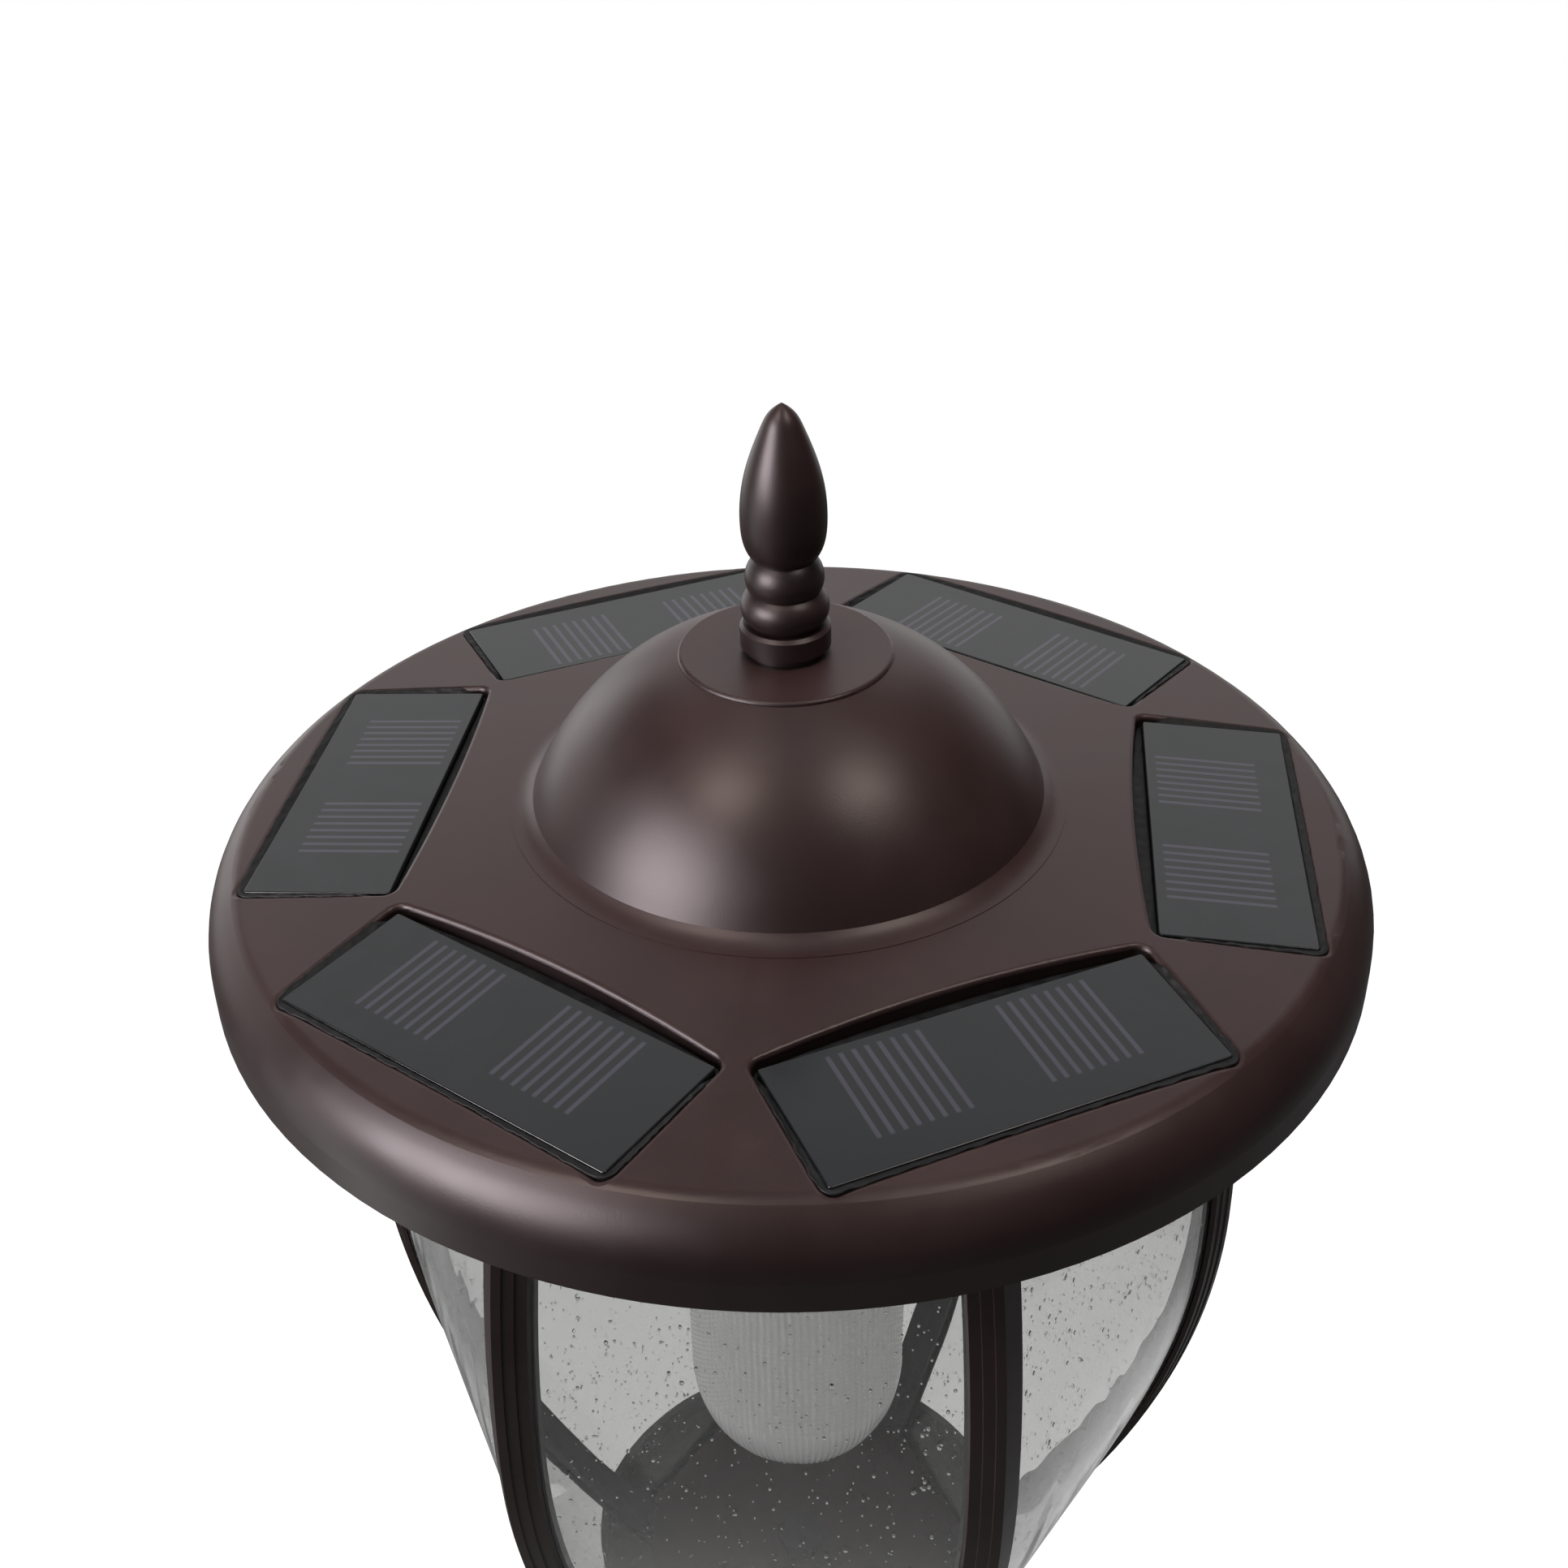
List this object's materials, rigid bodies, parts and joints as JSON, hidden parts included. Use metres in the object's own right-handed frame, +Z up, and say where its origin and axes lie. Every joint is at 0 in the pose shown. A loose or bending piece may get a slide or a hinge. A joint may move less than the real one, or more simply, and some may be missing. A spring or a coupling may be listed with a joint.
{
  "type": "solar lamp post",
  "caption": "Garden lamp post: fluted post on a bell base, six-sided bulged glass lantern, and a round roof with sunk solar panels, a dome and a flame finial.",
  "frame": {"origin": "centre of the base's underside, on the ground", "axes": "+Z up along the post; -Y faces the pane that looks at the viewer; +X to that viewer's right, through a lantern corner"},
  "size_m": [0.356, 0.356, 2.0776],
  "materials": {
    "bronze_paint": "satin dark bronze powder coat",
    "zinc_steel": "zinc plated",
    "black_steel": "black oxide",
    "black_plastic": "fine matt moulded",
    "knob_plastic": "matt moulded",
    "black_rubber": "matt",
    "sealant": "semi-gloss cured sealant",
    "liner_sheet": "mill finish sheet",
    "cell_sleeve": "shrink sleeve",
    "board": "solder mask",
    "white_board": "white solder mask",
    "led_lens": "clear yellow lens",
    "clear_jar": "clear, fluted",
    "seeded_glass": "clear with small bubbles",
    "panel_face": "dark glass over cells"
  },
  "bodies": {
    "post": {"base_casting": "bronze_paint", "lower_post": "bronze_paint", "post_collar": "bronze_paint", "upper_post": "bronze_paint", "post_capital": "bronze_paint", "post_screws": "black_steel", "tie_rod": "zinc_steel", "tie_rod_nuts": "zinc_steel", "tie_rod_washers": "zinc_steel"},
    "lantern": {"fitter": "bronze_paint", "fitter_screws": "black_steel", "lower_cup": "bronze_paint", "pane_ring": "bronze_paint", "cup_bolt": "zinc_steel", "glazing_strips": "black_rubber", "top_ring": "bronze_paint", "rib_screws": "black_steel", "thumb_screws": "bronze_paint", "rib_1": "bronze_paint", "rib_2": "bronze_paint", "rib_3": "bronze_paint", "rib_4": "bronze_paint", "rib_5": "bronze_paint", "rib_6": "bronze_paint", "glass_pane_1": "seeded_glass", "glass_pane_2": "seeded_glass", "glass_pane_3": "seeded_glass", "glass_pane_4": "seeded_glass", "glass_pane_5": "seeded_glass", "glass_pane_6": "seeded_glass"},
    "roof": {"roof_brim": "bronze_paint", "panel_seals": "sealant", "roof_dome": "bronze_paint", "dome_screws": "zinc_steel", "finial_stud": "zinc_steel", "roof_liner": "liner_sheet", "liner_screws": "zinc_steel", "led_housing": "black_plastic", "housing_gasket": "black_rubber", "door_pin": "zinc_steel", "battery_cells": "cell_sleeve", "battery_contacts": "zinc_steel", "control_board": "board", "switch_body": "black_plastic", "led_board": "white_board", "leds": "led_lens", "diffuser": "clear_jar", "diffuser_bezel": "black_plastic", "bezel_screws": "zinc_steel", "solar_panel_1": "panel_face", "solar_panel_2": "panel_face", "solar_panel_3": "panel_face", "solar_panel_4": "panel_face", "solar_panel_5": "panel_face", "solar_panel_6": "panel_face"},
    "finial_washer": {"finial_washer": "bronze_paint"},
    "finial": {"finial": "bronze_paint"},
    "battery_door": {"battery_door": "black_plastic"},
    "switch_knob": {"switch_knob": "knob_plastic"}
  },
  "joints": [
    {"name": "lantern_swivel", "type": "hinge", "parent": "post", "child": "lantern", "pos_m": [0, 0, 1.47], "axis": [0, 0, 1], "range_deg": [-180, 180]},
    {"name": "roof_lift", "type": "slide", "parent": "lantern", "child": "roof", "axis": [0, 0, 1], "range_m": [0, 0.28]},
    {"name": "finial_rise", "type": "slide", "parent": "roof", "child": "finial_washer", "axis": [0, 0, 1], "range_m": [0, 0.0076]},
    {"name": "finial_turn", "type": "hinge", "parent": "finial_washer", "child": "finial", "pos_m": [0, 0, 2], "axis": [0, 0, 1], "range_deg": [0, 2160]},
    {"name": "battery_door_hinge", "type": "hinge", "parent": "roof", "child": "battery_door", "pos_m": [0, 0.0902, 1.8695], "axis": [1, 0, 0], "range_deg": [0, 95]},
    {"name": "switch_slide", "type": "slide", "parent": "roof", "child": "switch_knob", "axis": [1, 0, 0], "range_m": [0, 0.004]}
  ],
  "couplings": [
    {"joint": "finial_rise", "follows": "finial_turn", "m_per_rad": 0.00019894}
  ]
}
